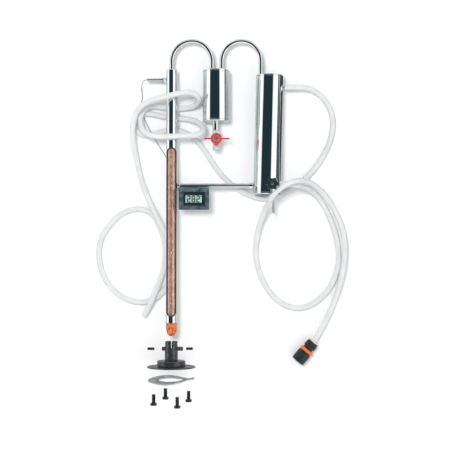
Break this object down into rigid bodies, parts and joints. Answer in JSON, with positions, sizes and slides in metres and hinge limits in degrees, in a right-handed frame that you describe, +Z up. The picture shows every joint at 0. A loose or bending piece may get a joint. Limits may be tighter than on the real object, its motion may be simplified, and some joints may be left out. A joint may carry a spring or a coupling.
{
  "type": "home still column head",
  "caption": "Packed reflux column with steam chamber, water-jacketed condenser, thermometer, flange mounting kit and cooling hoses with a quick connector.",
  "frame": {"origin": "middle of the head and its mounting kit on the bench surface that they lie on, hoses left out", "axes": "+Y along the bench from the mounting kit towards the vapour bends, +X from the column towards the condenser, +Z up from the bench"},
  "size_m": [0.5366, 0.7716, 0.101],
  "materials": {
    "polished_steel": "polished stainless steel",
    "satin_steel": "satin stainless steel",
    "copper_mesh": "knitted copper mesh roll",
    "bright_mesh": "bright orange-copper mesh",
    "black_trim": "matt black edging",
    "slate_plastic": "moulded slate plastic",
    "dark_plastic": "moulded black-green plastic",
    "clear_lens": "clear window",
    "display": "mint liquid crystal display",
    "circuit_board": "green circuit board",
    "natural_plastic": "translucent natural plastic",
    "red_plastic": "moulded red plastic",
    "valve_metal": "dark nickel",
    "gunmetal": "satin gunmetal",
    "black_screw": "black oxide",
    "grey_silicone": "grey silicone sheet",
    "clear_hose": "translucent flexible tubing",
    "grey_wire": "grey insulated wire",
    "orange_plastic": "moulded orange plastic",
    "peach_plastic": "pale collet plastic"
  },
  "bodies": {
    "root": {"column_tube": "polished_steel", "column_top_cap": "polished_steel", "vapour_bend_1": "polished_steel", "chamber_shell": "polished_steel", "chamber_top_cap": "polished_steel", "chamber_bottom_cap": "polished_steel", "chamber_drain_neck": "polished_steel", "vapour_bend_2": "polished_steel", "condenser_shell": "polished_steel", "condenser_top_cap": "polished_steel", "condenser_bottom_cap": "polished_steel", "condenser_coil": "polished_steel", "condenser_outlet_nozzle": "polished_steel", "product_spout": "polished_steel", "sensor_collar": "polished_steel", "bar_fitting_left": "polished_steel", "bar_fitting_right": "polished_steel", "valve_nipple": "polished_steel", "sensor_well": "satin_steel", "cross_bar": "satin_steel", "thermometer_cell_1": "satin_steel", "thermometer_cell_2": "satin_steel", "column_packing": "copper_mesh", "packing_plug": "bright_mesh", "window_trim": "black_trim", "thermometer_case": "slate_plastic", "thermometer_back": "slate_plastic", "thermometer_clip": "slate_plastic", "thermometer_bezel": "dark_plastic", "connector_body": "dark_plastic", "thermometer_lens": "clear_lens", "thermometer_display": "display", "thermometer_board": "circuit_board", "tap_body": "natural_plastic", "valve_body": "valve_metal", "connector_seal": "grey_silicone", "supply_hose": "clear_hose", "drain_hose": "clear_hose", "sensor_wire": "grey_wire", "connector_collet": "peach_plastic"},
    "adapter": {"socket_tube": "gunmetal", "boss_ring": "gunmetal", "flange_disc": "gunmetal", "left_boss": "gunmetal", "right_boss": "gunmetal", "lock_nut": "gunmetal"},
    "gasket": {"gasket": "grey_silicone"},
    "clamp_left": {"clamp_screw_left": "black_screw"},
    "clamp_right": {"clamp_screw_right": "black_screw"},
    "tap": {"tap_plug": "red_plastic", "tap_handle": "red_plastic", "tap_screw": "polished_steel"},
    "valve": {"valve_spindle": "valve_metal", "valve_knob": "dark_plastic"},
    "quick_nut": {"connector_nut": "dark_plastic"},
    "quick_ring": {"connector_ring": "orange_plastic"},
    "screw_1": {"flange_screw_1": "black_screw"},
    "screw_2": {"flange_screw_2": "black_screw"},
    "screw_3": {"flange_screw_3": "black_screw"},
    "screw_4": {"flange_screw_4": "black_screw"}
  },
  "joints": [
    {"name": "adapter_slide", "type": "slide", "parent": "root", "child": "adapter", "axis": [0, 0.9994, -0.0354], "range_m": [0, 0.084]},
    {"name": "gasket_slide", "type": "slide", "parent": "adapter", "child": "gasket", "axis": [0, 0.9994, -0.0354], "range_m": [0, 0.0245]},
    {"name": "clamp_left_turn_in", "type": "slide", "parent": "adapter", "child": "clamp_left", "axis": [1, 0, 0], "range_m": [0, 0.0228]},
    {"name": "clamp_right_turn_in", "type": "slide", "parent": "adapter", "child": "clamp_right", "axis": [-1, 0, 0], "range_m": [0, 0.018]},
    {"name": "tap_turn", "type": "hinge", "parent": "root", "child": "tap", "pos_m": [-0.00275, 0.17212, 0.03358], "axis": [0, 0.0354, 0.9994], "range_deg": [0, 90]},
    {"name": "valve_turn", "type": "hinge", "parent": "root", "child": "valve", "pos_m": [0.11285, 0.07639, 0.07109], "axis": [0, 0.0354, 0.9994], "range_deg": [-270, 0]},
    {"name": "nut_turn", "type": "hinge", "parent": "root", "child": "quick_nut", "pos_m": [0.19891, -0.26417, 0.0148], "axis": [-0.6429, -0.7659, 0], "range_deg": [0, 360]},
    {"name": "ring_release", "type": "slide", "parent": "root", "child": "quick_ring", "axis": [0.6429, 0.7659, 0], "range_m": [0, 0.0035], "stiffness_N_per_m": 400},
    {"name": "screw_1_turn_in", "type": "slide", "parent": "gasket", "child": "screw_1", "axis": [0, 0.9994, -0.0354], "range_m": [0, 0.0388]},
    {"name": "screw_2_turn_in", "type": "slide", "parent": "gasket", "child": "screw_2", "axis": [0, 0.9994, -0.0354], "range_m": [0, 0.0448]},
    {"name": "screw_3_turn_in", "type": "slide", "parent": "gasket", "child": "screw_3", "axis": [0, 0.9994, -0.0354], "range_m": [0, 0.0422]},
    {"name": "screw_4_turn_in", "type": "slide", "parent": "gasket", "child": "screw_4", "axis": [0, 0.9994, -0.0354], "range_m": [0, 0.0362]}
  ]
}
